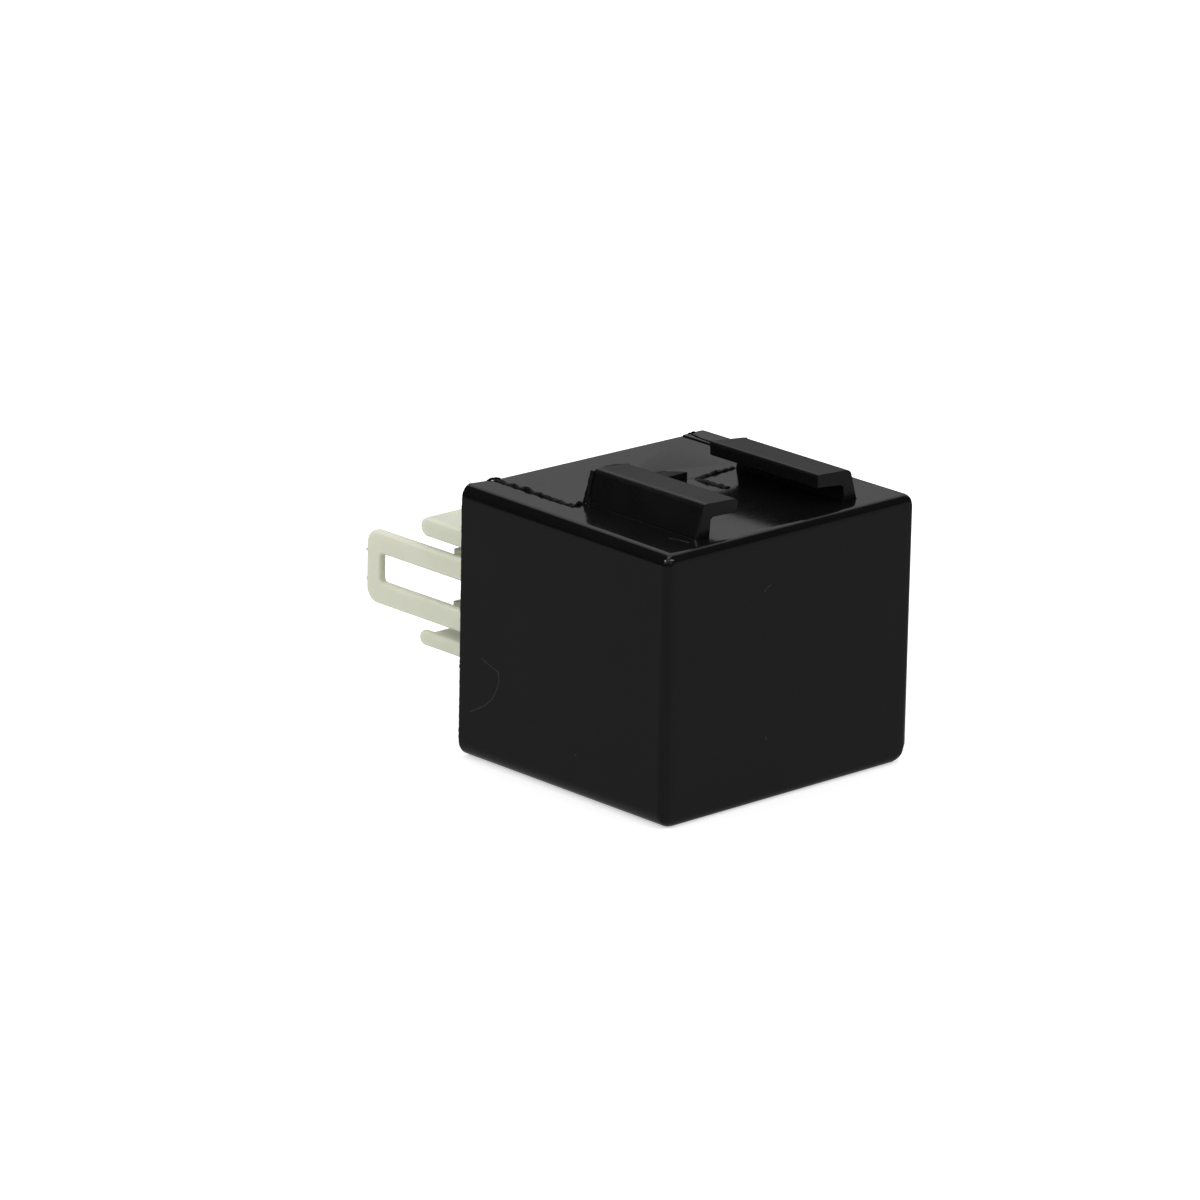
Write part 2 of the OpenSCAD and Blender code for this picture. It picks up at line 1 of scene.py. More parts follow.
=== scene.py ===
"""Looks of a plug-in relay: a glossy moulded cap with bracket rails, a cream base and tinned blades."""
import math

import bmesh
import bpy
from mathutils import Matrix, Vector, noise


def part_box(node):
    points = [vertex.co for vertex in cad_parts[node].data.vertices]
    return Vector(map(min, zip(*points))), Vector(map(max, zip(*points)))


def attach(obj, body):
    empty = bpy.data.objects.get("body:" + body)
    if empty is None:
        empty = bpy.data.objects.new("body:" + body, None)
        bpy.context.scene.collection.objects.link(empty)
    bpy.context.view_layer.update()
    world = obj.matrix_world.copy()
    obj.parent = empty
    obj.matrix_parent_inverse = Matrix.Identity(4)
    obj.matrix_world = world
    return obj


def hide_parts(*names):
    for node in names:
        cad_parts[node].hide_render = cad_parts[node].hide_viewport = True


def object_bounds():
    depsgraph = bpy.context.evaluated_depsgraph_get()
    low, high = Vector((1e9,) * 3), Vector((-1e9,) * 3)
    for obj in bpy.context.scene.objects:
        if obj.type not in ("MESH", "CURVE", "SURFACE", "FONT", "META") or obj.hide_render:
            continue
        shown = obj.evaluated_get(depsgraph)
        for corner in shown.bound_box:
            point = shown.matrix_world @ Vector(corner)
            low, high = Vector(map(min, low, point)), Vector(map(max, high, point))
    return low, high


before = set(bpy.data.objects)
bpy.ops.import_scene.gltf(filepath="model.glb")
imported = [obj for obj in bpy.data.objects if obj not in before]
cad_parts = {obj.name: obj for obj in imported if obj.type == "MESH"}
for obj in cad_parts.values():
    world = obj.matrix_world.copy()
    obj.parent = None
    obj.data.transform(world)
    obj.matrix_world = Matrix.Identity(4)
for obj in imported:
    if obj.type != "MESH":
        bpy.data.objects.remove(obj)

MM = 0.001
cad_low, cad_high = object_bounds()
cap_low, cap_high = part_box("cap")
base_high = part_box("base")[1]

# Places in millimetres: the cap's closed end, rim, half width, and its roof under the rails.
RAIL_H = 2.9
ROOF = cap_high.z / MM - RAIL_H
RIM = cap_high.y / MM
CLOSED = cap_low.y / MM
SIDE = cap_high.x / MM
RAIL_START = CLOSED + 2.0
RAIL_END = CLOSED + 14.7
PLATE = RIM - 0.6
LOOP_END = base_high.y / MM

# Radii of the cap's long edges, of those beside the rails and of those round its closed end.
CAP_R = 1.5
TOP_R = 1.0
END_R = 0.8

# The bracket slot between the rails, the gap between their flanges, and the rails' outer sides.
SLOT, SLOT_GAP = 15.0, 9.0
RAIL_OUT = SLOT / 2 + 1.6
# The flanges' tops fall by LEAN a millimetre towards the right; the left one's fall starts this far
# outside its free edge.
LEAN, FLANGE = 0.06, 4.05

# Highest lift of the warp, and where across the cap it starts and how far it takes to grow.
WARP, WARP_START, WARP_SPAN = 0.36, -4.0, 9.0
# How far the right rail's end slants and the left one's leans, a millimetre.
END_SLANT, END_LEAN = 0.14, 0.05
# Widths of the broken edges, and the share of it that the cap's unworn edges have.
CAP_EDGE, BASE_EDGE, UNWORN = 0.3, 0.28, 0.45

# Edges past this angle stay crisp, and between two faces broader than BROAD (mm2) past a smaller one.
CRISP, CRISP_BROAD, BROAD = 32.0, 5.0, 12.0
# Flash with a grain this coarse or coarser is torn into flat facets.
TORN_GRAIN = 1.5
# Slack for telling points on a round from those beside it, in millimetres.
NEAR = 0.002

WORLD_LEVEL = 0.8
WHITE = (1.0, 1.0, 1.0, 1.0)
# What a mirror sees at each height: (sine of the elevation, level), then its dark corners.
ROOM = ((0.12, 0.02), (0.31, 0.44), (0.6, 0.8), (1.0, 1.0))
DARK_CORNERS = ((-0.526, 0.682, 0.508), (0.657, -0.535, 0.532))
# Each lamp's name, place, size in metres and power in watts.
LAMPS = (("key", (-0.66, 0.2, 0.62), 0.18, 1.25),
         ("fill", (0.2, -0.66, 0.62), 0.18, 1.25),
         ("top", (0.1, 0.1, 1.3), 0.8, 1.2))
PAPER = (0.86, 0.86, 0.86, 1.0)
PAPER_GLOW = 0.5
FLOOR_HALF, FLOOR_DROP = 2.5, 0.00002

BLACK = (0.0042, 0.0042, 0.0044)
PLASTIC_IOR = 1.4


# ---------------------------------------------------------------- camera, light and floor

def set_camera():
    """A long lens from the front left, a little above, rolled by one degree."""
    data = bpy.data.cameras.new("camera")
    data.lens, data.sensor_width = 227.0, 36.0
    data.clip_start, data.clip_end = 0.01, 10.0
    camera = bpy.data.objects.new("camera", data)
    camera.location = (-0.41140, -0.42692, 0.20103)
    camera.rotation_euler = [math.radians(a) for a in (72.454, -1.066, -42.911)]
    bpy.context.collection.objects.link(camera)
    bpy.context.scene.camera = camera


def seen_through(nodes, links):
    """1 for the rays that show the plain white background: from the camera and through glass."""
    path = nodes.new("ShaderNodeLightPath")
    both = nodes.new("ShaderNodeMath")
    both.operation = "MAXIMUM"
    links.new(path.outputs["Is Camera Ray"], both.inputs[0])
    links.new(path.outputs["Is Transmission Ray"], both.inputs[1])
    return both.outputs[0]


def mirrored(nodes):
    return nodes.new("ShaderNodeLightPath").outputs["Is Glossy Ray"]


def mix_shaders(nodes, links, amount, a, b):
    mix = nodes.new("ShaderNodeMixShader")
    links.new(amount, mix.inputs[0])
    links.new(a, mix.inputs[1])
    links.new(b, mix.inputs[2])
    return mix.outputs[0]


def smooth_range(nodes, links, value, low, high, to_low, to_high):
    node = nodes.new("ShaderNodeMapRange")
    node.interpolation_type = "SMOOTHSTEP"
    for name, level in (("From Min", low), ("From Max", high), ("To Min", to_low), ("To Max", to_high)):
        node.inputs[name].default_value = level
    links.new(value, node.inputs["Value"])
    return node.outputs[0]


def dark_corner(nodes, links, place, direction):
    """Near 0 where a mirror looks into this dark part of the room, 1 elsewhere."""
    toward = nodes.new("ShaderNodeVectorMath")
    toward.operation = "DOT_PRODUCT"
    links.new(place, toward.inputs[0])
    toward.inputs[1].default_value = Vector(direction).normalized()
    return smooth_range(nodes, links, toward.outputs["Value"], 0.74, 0.83, 1.0, 0.03)


def room_level(nodes, links, place):
    """How bright a mirror finds the room at each height."""
    split = nodes.new("ShaderNodeSeparateXYZ")
    links.new(place, split.inputs[0])
    rise = nodes.new("ShaderNodeValToRGB")
    rise.color_ramp.interpolation = "EASE"
    stops = rise.color_ramp.elements
    stops[0].position, stops[1].position = ROOM[0][0], ROOM[-1][0]
    for height, level in ROOM[1:-1]:
        stops.new(height)
    for stop, (height, level) in zip(stops, ROOM):
        stop.color = (level, level, level, 1.0)
    links.new(split.outputs[2], rise.inputs["Fac"])
    return rise.outputs["Color"]


def set_world():
    """Plain light all round; a mirror sees white overhead, a dim horizon and two dark corners."""
    world = bpy.data.worlds.new("studio")
    world.use_nodes = True
    nodes, links = world.node_tree.nodes, world.node_tree.links
    nodes.clear()
    place = nodes.new("ShaderNodeTexCoord").outputs["Generated"]
    plain, white, room = (nodes.new("ShaderNodeBackground") for i in range(3))
    plain.inputs["Strength"].default_value = WORLD_LEVEL
    for light in (plain, white):
        light.inputs["Color"].default_value = WHITE
    links.new(room_level(nodes, links, place), room.inputs["Color"])
    shade = nodes.new("ShaderNodeMath")
    shade.operation = "MULTIPLY"
    for i, direction in enumerate(DARK_CORNERS):
        links.new(dark_corner(nodes, links, place, direction), shade.inputs[i])
    links.new(shade.outputs[0], room.inputs["Strength"])
    lit = mix_shaders(nodes, links, mirrored(nodes), plain.outputs[0], room.outputs[0])
    shown = mix_shaders(nodes, links, seen_through(nodes, links), lit, white.outputs[0])
    out = nodes.new("ShaderNodeOutputWorld")
    links.new(shown, out.inputs["Surface"])
    bpy.context.scene.world = world


def add_lamp(name, location, size, watts):
    """A square lamp that faces the object."""
    data = bpy.data.lights.new(name, "AREA")
    data.shape = "RECTANGLE"
    data.size = data.size_y = size
    data.energy = watts
    lamp = bpy.data.objects.new(name, data)
    lamp.location = location
    lamp.rotation_mode = "QUATERNION"
    lamp.rotation_quaternion = (-Vector(location)).to_track_quat("-Z", "Y")
    bpy.context.collection.objects.link(lamp)


def floor_material():
    """White paper; a mirror sees a painted glow in its place, dimmer than the paper and dimmer still
    further off.
    """
    mat = bpy.data.materials.new("floor_paper")
    mat.use_nodes = True
    nodes, links = mat.node_tree.nodes, mat.node_tree.links
    nodes.clear()
    paper = nodes.new("ShaderNodeBsdfDiffuse")
    paper.inputs["Color"].default_value = PAPER
    glow = nodes.new("ShaderNodeEmission")
    lift = nodes.new("ShaderNodeMath")
    lift.operation = "MULTIPLY"
    lift.inputs[1].default_value = PAPER_GLOW
    links.new(seen_through(nodes, links), lift.inputs[0])
    links.new(lift.outputs[0], glow.inputs["Strength"])
    add = nodes.new("ShaderNodeAddShader")
    links.new(paper.outputs[0], add.inputs[0])
    links.new(glow.outputs[0], add.inputs[1])
    place = nodes.new("ShaderNodeTexCoord")
    away = nodes.new("ShaderNodeVectorMath")
    away.operation = "LENGTH"
    links.new(place.outputs["Object"], away.inputs[0])
    # Painted reflection: mirrors see the floor as a glow that fades with distance, not as the lit paper.
    painted_mirror_glow = nodes.new("ShaderNodeEmission")
    links.new(smooth_range(nodes, links, away.outputs["Value"], 0.07, 0.36, 0.27, 0.02),
              painted_mirror_glow.inputs["Strength"])
    out = nodes.new("ShaderNodeOutputMaterial")
    links.new(mix_shaders(nodes, links, mirrored(nodes), add.outputs[0], painted_mirror_glow.outputs[0]),
              out.inputs["Surface"])
    return mat


def add_floor():
    mesh = bpy.data.meshes.new("floor")
    half = FLOOR_HALF
    mesh.from_pydata([(-half, -half, 0), (half, -half, 0), (half, half, 0), (-half, half, 0)], [],
                     [(0, 1, 2, 3)])
    floor = bpy.data.objects.new("floor", mesh)
    floor.location.z = cad_low.z - FLOOR_DROP
    mesh.materials.append(floor_material())
    bpy.context.collection.objects.link(floor)


# ---------------------------------------------------------------- materials

class Shader:
    """A Principled material with short calls for the nodes that feed it."""

    def __init__(self, name, color, roughness, metallic=0.0, ior=1.5):
        self.mat = bpy.data.materials.new(name)
        self.mat.use_nodes = True
        self.nodes = self.mat.node_tree.nodes
        self.links = self.mat.node_tree.links
        self.bsdf = self.nodes["Principled BSDF"]
        self.bsdf.inputs["Base Color"].default_value = (*color, 1.0)
        self.bsdf.inputs["Roughness"].default_value = roughness
        self.bsdf.inputs["Metallic"].default_value = metallic
        self.bsdf.inputs["IOR"].default_value = ior
        self.place = self.nodes.new("ShaderNodeTexCoord").outputs["Object"]

    def put(self, value, socket):
        if hasattr(value, "links"):
            self.links.new(value, socket)
        else:
            socket.default_value = value

    def math(self, kind, a, b=0.0, clamp=False):
        node = self.nodes.new("ShaderNodeMath")
        node.operation = kind
        node.use_clamp = clamp
        self.put(a, node.inputs[0])
        self.put(b, node.inputs[1])
        return node.outputs[0]

    def scaled(self, scale, offset=(0.0, 0.0, 0.0)):
        """Object coordinates times scale, one or three numbers a metre."""
        node = self.nodes.new("ShaderNodeMapping")
        node.inputs["Scale"].default_value = scale if isinstance(scale, tuple) else (scale,) * 3
        node.inputs["Location"].default_value = offset
        self.links.new(self.place, node.inputs["Vector"])
        return node.outputs[0]

    def axis(self, index):
        """One object coordinate in millimetres."""
        node = self.nodes.new("ShaderNodeSeparateXYZ")
        self.links.new(self.scaled(1.0 / MM), node.inputs[0])
        return node.outputs[index]

    def noise(self, where, detail=3.0, roughness=0.5, distortion=0.0):
        node = self.nodes.new("ShaderNodeTexNoise")
        node.inputs["Scale"].default_value = 1.0
        node.inputs["Detail"].default_value = detail
        node.inputs["Roughness"].default_value = roughness
        node.inputs["Distortion"].default_value = distortion
        self.links.new(where, node.inputs["Vector"])
        return node.outputs["Fac"]

    def specks(self, where, size, share):
        """1 at the middle of scattered dots, in this share of the cells."""
        node = self.nodes.new("ShaderNodeTexVoronoi")
        node.inputs["Scale"].default_value = 1.0
        self.links.new(where, node.inputs["Vector"])
        dot = self.ramp(node.outputs["Distance"], size, size * 0.6)
        chance = self.nodes.new("ShaderNodeSeparateXYZ")
        self.links.new(node.outputs["Color"], chance.inputs[0])
        return self.math("MULTIPLY", dot, self.math("LESS_THAN", chance.outputs[0], share))

    def ramp(self, value, low, high, to_low=0.0, to_high=1.0):
        """The value's span from low to high, moved to run from to_low to to_high and held there."""
        node = self.nodes.new("ShaderNodeMapRange")
        node.inputs["From Min"].default_value = low
        node.inputs["From Max"].default_value = high
        node.inputs["To Min"].default_value = to_low
        node.inputs["To Max"].default_value = to_high
        self.links.new(value, node.inputs["Value"])
        return node.outputs[0]

    def mix(self, amount, a, b):
        node = self.nodes.new("ShaderNodeMix")
        node.data_type = "RGBA"
        self.put(amount, node.inputs[0])
        for value, socket in ((a, node.inputs[6]), (b, node.inputs[7])):
            self.put((*value, 1.0) if isinstance(value, tuple) else value, socket)
        return node.outputs[2]

    def color(self, value):
        self.links.new(value, self.bsdf.inputs["Base Color"])

    def roughness(self, value):
        self.links.new(value, self.bsdf.inputs["Roughness"])

    def bump(self, height, distance, strength=1.0):
        node = self.nodes.new("ShaderNodeBump")
        node.inputs["Strength"].default_value = strength
        node.inputs["Distance"].default_value = distance
        self.links.new(height, node.inputs["Height"])
        self.links.new(node.outputs[0], self.bsdf.inputs["Normal"])

    def stroke(self, u, v, start, end, width):
        """A thin straight line from start to end in the plane of two coordinates."""
        du, dv = end[0] - start[0], end[1] - start[1]
        square = du * du + dv * dv
        pu, pv = self.math("SUBTRACT", u, start[0]), self.math("SUBTRACT", v, start[1])
        share_u, share_v = self.math("MULTIPLY", pu, du / square), self.math("MULTIPLY", pv, dv / square)
        along = self.math("ADD", share_u, share_v, clamp=True)
        ou = self.math("SUBTRACT", pu, self.math("MULTIPLY", along, du))
        ov = self.math("SUBTRACT", pv, self.math("MULTIPLY", along, dv))
        square_away = self.math("ADD", self.math("MULTIPLY", ou, ou), self.math("MULTIPLY", ov, ov))
        return self.ramp(self.math("SQRT", square_away), width, width * 0.4)


def cap_scuffs(s, x, y, z):
    """Hair lines scraped into the cap: one long bent one on its side and a few short ones."""
    on_side = s.math("LESS_THAN", x, 0.2 - SIDE)
    on_end = s.math("MULTIPLY", s.math("LESS_THAN", y, CLOSED + 0.2), 0.55)
    on_top = s.math("GREATER_THAN", z, ROOF - 0.05)
    on_rail = s.math("MULTIPLY", s.math("LESS_THAN", x, 0.1 - RAIL_OUT),
                     s.math("GREATER_THAN", z, ROOF + 0.2))
    bent = ((9.59, 9.21), (8.85, 8.96), (7.5, 8.53), (7.43, 7.86), (7.6, 7.21), (8.18, 6.11),
            (9.14, 5.26), (10.84, 4.31))
    faint = s.math("MULTIPLY", on_side, 0.6)
    strokes = [(y, z, start, end, 0.045, faint) for start, end in zip(bent, bent[1:])]
    strokes += [(x, y, (-10.4, -8.5), (-10.0, -9.4), 0.07, on_top),
                (x, y, (-10.1, -9.5), (-9.9, -10.3), 0.09, on_top),
                (x, z, (-3.15, 18.15), (-3.05, 18.25), 0.08, on_end),
                (x, z, (-2.9, 18.35), (-2.5, 18.56), 0.05, on_end),
                (x, z, (-2.6, 5.6), (-2.55, 5.4), 0.06, on_end),
                (y, z, (-1.95, 3.85), (-1.85, 3.8), 0.06, on_side),
                (y, z, (-2.92, 25.9), (-3.05, 25.6), 0.06, on_rail),
                (y, z, (-3.05, 25.6), (-3.0, 25.26), 0.06, on_rail),
                (y, z, (-3.0, 25.26), (-2.84, 24.9), 0.05, on_rail)]
    hair = 0.0
    for u, v, start, end, width, where in strokes:
        hair = s.math("MAXIMUM", hair, s.math("MULTIPLY", s.stroke(u, v, start, end, width), where))
    return hair


def cap_plastic():
    """Glossy black moulding, duller on its rails: faint flow in its gloss, scuffs, a little dust."""
    s = Shader("cap_plastic", BLACK, 0.14, ior=PLASTIC_IOR)
    cloud = s.noise(s.scaled(150.0), detail=4.0)
    fine = s.noise(s.scaled(2600.0), detail=2.0)
    x, y, z = s.axis(0), s.axis(1), s.axis(2)
    dust = s.specks(s.scaled(260.0), 0.045, 0.11)
    marks = s.math("MAXIMUM", s.math("MULTIPLY", cap_scuffs(s, x, y, z), 0.5), dust)
    film = s.math("MULTIPLY", s.ramp(cloud, 0.5, 0.8), 0.0012)
    base = s.mix(film, BLACK, (0.5, 0.5, 0.5))
    s.color(s.mix(s.math("MULTIPLY", marks, 0.16), base, (0.55, 0.55, 0.54)))
    gloss = s.math("ADD", s.ramp(cloud, 0.3, 0.7, 0.08, 0.16), s.ramp(fine, 0.3, 0.7, -0.02, 0.03))
    on_rails = s.math("MULTIPLY", s.math("GREATER_THAN", z, ROOF + 0.16),
                      s.math("GREATER_THAN", x, -0.15 - RAIL_OUT))
    gloss = s.math("ADD", gloss, s.math("MULTIPLY", on_rails, s.ramp(cloud, 0.3, 0.7, 0.1, 0.2)))
    s.roughness(s.math("ADD", gloss, s.math("MULTIPLY", marks, 0.3)))
    s.bump(s.math("ADD", s.math("MULTIPLY", cloud, 0.8), s.math("MULTIPLY", fine, 0.2)), 0.00003, 0.35)
    return s.mat


def flash_plastic():
    """The same black where the mould squeezed it out: torn, dull and a little brown in cloudy patches."""
    s = Shader("flash_plastic", BLACK, 0.5, ior=1.25)
    torn = s.noise(s.scaled(3800.0), detail=4.0)
    cloud = s.noise(s.scaled(700.0), detail=3.0)
    s.color(s.mix(s.ramp(cloud, 0.5, 0.75), BLACK, (0.012, 0.009, 0.007)))
    s.roughness(s.ramp(torn, 0.3, 0.7, 0.35, 0.65))
    s.bump(torn, 0.00004, 0.6)
    return s.mat


def base_plastic():
    """Pale cream nylon, cloudy and a little translucent, with a fine mould grain."""
    s = Shader("base_plastic", (0.67, 0.68, 0.565), 0.45, ior=PLASTIC_IOR)
    cloud = s.noise(s.scaled(220.0), detail=4.0)
    fine = s.noise(s.scaled(3000.0), detail=2.0)
    s.color(s.mix(s.ramp(cloud, 0.35, 0.7), (0.66, 0.675, 0.555), (0.70, 0.71, 0.61)))
    s.roughness(s.ramp(fine, 0.3, 0.7, 0.4, 0.55))
    s.bump(fine, 0.00001, 0.3)
    s.bsdf.inputs["Subsurface Weight"].default_value = 0.6
    s.bsdf.inputs["Subsurface Radius"].default_value = (1.0, 0.9, 0.6)
    s.bsdf.inputs["Subsurface Scale"].default_value = 0.001
    return s.mat


def bobbin_plastic():
    """Black glass-filled moulding: its fibres show a little, and lie along the coil."""
    s = Shader("bobbin_plastic", (0.035, 0.032, 0.03), 0.5, ior=1.45)
    fibre = s.noise(s.scaled((5200.0, 900.0, 5200.0)), detail=3.0)
    cloud = s.noise(s.scaled(300.0), detail=3.0)
    s.color(s.mix(s.ramp(fibre, 0.6, 0.8, 0.0, 0.5), (0.033, 0.03, 0.028), (0.11, 0.10, 0.09)))
    s.roughness(s.ramp(cloud, 0.3, 0.7, 0.42, 0.6))
    s.bump(fibre, 0.000012, 0.5)
    return s.mat


def brushed(name, color, roughness, along=1):
    """Sheet metal with rolling lines along one axis and a little tarnish."""
    s = Shader(name, color, roughness, metallic=1.0)
    scale = [4200.0, 4200.0, 4200.0]
    scale[along] = 260.0
    lines = s.noise(s.scaled(tuple(scale)), detail=3.0)
    cloud = s.noise(s.scaled(420.0), detail=4.0)
    dark = tuple(c * f for c, f in zip(color, (0.66, 0.6, 0.48)))
    s.color(s.mix(s.ramp(cloud, 0.45, 0.75, 0.0, 0.5), color, dark))
    s.roughness(s.math("ADD", s.ramp(lines, 0.3, 0.7, roughness - 0.08, roughness + 0.1),
                       s.ramp(cloud, 0.4, 0.8, 0.0, 0.1)))
    s.bump(lines, 0.000008, 0.5)
    return s.mat


def enamelled_wire(pitch=0.16):
    """Copper wire under clear enamel, one turn beside the next along the coil."""
    s = Shader("enamelled_wire", (0.62, 0.24, 0.10), 0.25, metallic=1.0)
    wander = s.ramp(s.noise(s.scaled(900.0)), 0.3, 0.7, -0.03, 0.03)
    turn = s.math("MULTIPLY", s.math("ADD", s.axis(1), wander), 2.0 * math.pi / pitch)
    ridge = s.math("ABSOLUTE", s.math("SINE", s.math("MULTIPLY", turn, 0.5)))
    cloud = s.noise(s.scaled(420.0), detail=4.0)
    s.color(s.mix(s.ramp(cloud, 0.4, 0.7), (0.64, 0.26, 0.10), (0.50, 0.16, 0.06)))
    s.roughness(s.ramp(ridge, 0.0, 1.0, 0.5, 0.22))
    s.bump(ridge, 0.00006, 0.9)
    return s.mat


def resistor_body():
    """Lacquered body with plain coloured rings, and tinned ends."""
    s = Shader("resistor_body", (0.50, 0.36, 0.20), 0.35, ior=1.5)
    low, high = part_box("suppression_resistor")
    middle = (low.x + high.x) / 2 / MM
    off = s.math("SUBTRACT", s.axis(0), middle)
    rings = None
    for place in (-1.6, -0.9, -0.2, 1.5):
        ring = s.math("LESS_THAN", s.math("ABSOLUTE", s.math("SUBTRACT", off, place)), 0.2)
        rings = ring if rings is None else s.math("MAXIMUM", rings, ring)
    body = s.math("LESS_THAN", s.math("ABSOLUTE", off), 3.1)
    cloud = s.noise(s.scaled(700.0), detail=3.0)
    lacquer = s.mix(s.ramp(cloud, 0.3, 0.7), (0.50, 0.37, 0.21), (0.42, 0.29, 0.15))
    s.color(s.mix(body, (0.6, 0.6, 0.58), s.mix(rings, lacquer, (0.11, 0.05, 0.02))))
    s.links.new(s.math("SUBTRACT", 1.0, body), s.bsdf.inputs["Metallic"])
    s.roughness(s.ramp(cloud, 0.3, 0.7, 0.28, 0.42))
    return s.mat


def dress(mat, *nodes):
    """These CAD nodes take this finish."""
    for node in nodes:
        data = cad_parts[node].data
        data.materials.clear()
        data.materials.append(mat)


# ---------------------------------------------------------------- pieces

def ridden(piece, slot, *mats):
    """A new piece of the relay's fixed body, with its finishes. The slot argument is not used."""
    if piece.name not in bpy.context.collection.objects:
        bpy.context.collection.objects.link(piece)
    piece.data.materials.clear()
    for mat in mats:
        piece.data.materials.append(mat)
    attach(piece, "relay_body")
    return piece


def settled(piece):
    """The piece with its modifiers applied, its sharper edges crisp and its flat faces kept flat."""
    bpy.context.collection.objects.link(piece)
    bpy.context.view_layer.update()
    mesh = bmesh.new()
    mesh.from_object(piece, bpy.context.evaluated_depsgraph_get())
    piece.modifiers.clear()
    mesh.normal_update()
    for edge in mesh.edges:
        broad = min((face.calc_area() for face in edge.link_faces), default=0.0) > BROAD * MM * MM
        limit = math.radians(CRISP_BROAD if broad else CRISP)
        edge.smooth = len(edge.link_faces) == 2 and edge.calc_face_angle(0.0) < limit
    for face in mesh.faces:
        face.smooth = True
    normals = [corner_normal(loop) for face in mesh.faces for loop in face.loops]
    mesh.to_mesh(piece.data)
    mesh.free()
    piece.data.normals_split_custom_set(normals)
    return piece


def corner_normal(loop):
    """Normals of the faces round a corner that no crisp edge parts from it, large faces first."""
    total, seen, waiting = Vector(), set(), [loop.face]
    while waiting:
        face = waiting.pop()
        if face in seen:
            continue
        seen.add(face)
        total += face.normal * face.calc_area()
        for edge in face.edges:
            if edge.smooth and loop.vert in edge.verts:
                waiting.extend(edge.link_faces)
    return total.normalized() if total.length > 0.0 else loop.face.normal.copy()


def softened(node, name, width, weight, shape=None, segments=3, angle=35.0):
    """The CAD shape, worked over by shape(mesh), with its outer edges broken.

    weight(middle, length) takes an edge's middle and length in mm and gives its share of the width.
    """
    piece = bpy.data.objects.new(name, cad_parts[node].data.copy())
    mesh = bmesh.new()
    mesh.from_mesh(piece.data)
    bmesh.ops.remove_doubles(mesh, verts=mesh.verts, dist=1e-7)
    bmesh.ops.dissolve_limit(mesh, angle_limit=math.radians(0.05), verts=mesh.verts, edges=mesh.edges)
    if shape:
        shape(mesh)
    layer = mesh.edges.layers.float.new("bevel_weight_edge")
    for edge in mesh.edges:
        if len(edge.link_faces) != 2 or edge.calc_face_angle(0.0) < math.radians(angle):
            continue
        edge.smooth = False
        if edge.is_convex:
            a, b = (v.co / MM for v in edge.verts)
            edge[layer] = weight((a + b) / 2, (a - b).length)
            edge.smooth = edge[layer] > 0.0
    for face in mesh.faces:
        face.smooth = True
    mesh.to_mesh(piece.data)
    mesh.free()
    bevel = piece.modifiers.new("edges", "BEVEL")
    bevel.width = width * MM
    bevel.segments = segments
    bevel.limit_method = "WEIGHT"
    bevel.use_clamp_overlap = False
    return settled(piece)


def warp(p):
    """The real cap is not quite true: its rail face lifts towards the rim along the left edge."""
    along = min(max((p.y - CLOSED) / (RIM - CLOSED), 0.0), 1.0)
    across = min(max((WARP_START - p.x) / WARP_SPAN, 0.0), 1.0)
    height = min(max((p.z - ROOF + CAP_R) / CAP_R, 0.0), 1.0)
    return Vector((0.0, 0.0, WARP * along * across * across * height))


def tighten(p):
    """The long edges beside the rails are tighter than the rest: their round shrinks into its corner."""
    a, b = abs(p.x) - SIDE + CAP_R, p.z - ROOF + CAP_R
    inside = p.y > CLOSED + END_R - NEAR and math.hypot(a, b) < CAP_R - 0.05
    if min(a, b) < -NEAR or inside:
        return p
    shrink = TOP_R / CAP_R
    return Vector((math.copysign(SIDE - TOP_R + max(a, 0.0) * shrink, p.x), p.y,
                   ROOF - TOP_R + max(b, 0.0) * shrink))


def round_corner(p):
    """Point of the closed end's corners brought onto one smooth round."""
    mid = ROOF / 2
    radius = TOP_R if p.z > mid else CAP_R
    a = abs(p.x) - (SIDE - radius)
    b = abs(p.z - mid) - (mid - radius)
    c = CLOSED + END_R - p.y
    if min(a, b) < -NEAR or c <= 0.0 or max(a, b) > radius + 0.01:
        return p
    ring = radius - END_R
    out = math.hypot(a, b)
    span = math.hypot(out - ring, c)
    if out <= ring or span == 0.0:
        return p
    grow = (ring + END_R * (out - ring) / span) / out
    return Vector((math.copysign(SIDE - radius + a * grow, p.x), CLOSED + END_R - END_R * c / span,
                   mid + math.copysign(mid - radius + b * grow, p.z - mid)))


def cut(mesh, at, normal):
    """New edges where the plane at this point in mm passes."""
    bmesh.ops.bisect_plane(mesh, geom=mesh.verts[:] + mesh.edges[:] + mesh.faces[:], dist=1e-8,
                           plane_co=Vector(at) * MM, plane_no=normal)


def cut_rounds(mesh):
    """Rings of vertices round the closed end and along the long edges, for the rounds to use."""
    for i in range(7):
        cut(mesh, (0, CLOSED + END_R * (1.0 - math.sin(math.radians(13.0 * i))), 0), (0, 1, 0))
    for side in (-1, 1):
        cut(mesh, (side * (SIDE - CAP_R), 0, 0), (1, 0, 0))
    for z in (CAP_R, ROOF - CAP_R):
        cut(mesh, (0, 0, z), (0, 0, 1))


def lean_rails(p):
    """The right rail's end slants, the left one's leans a little, and both flanges tilt."""
    if abs(p.y - RAIL_END) < 0.02 and p.z > ROOF + 0.05:
        if p.x > 4.0:
            p.y -= END_SLANT * (p.x - 4.4)
        if p.x < -4.0:
            p.y += END_LEAN * (p.z - ROOF)
    if p.z > ROOF + 1.5 and abs(p.x) < SLOT / 2 + 2.0:
        edge = math.copysign(SLOT_GAP / 2, p.x)
        p.z -= LEAN * (p.x - edge + (FLANGE if p.x < 0.0 else 0.0))
    return p


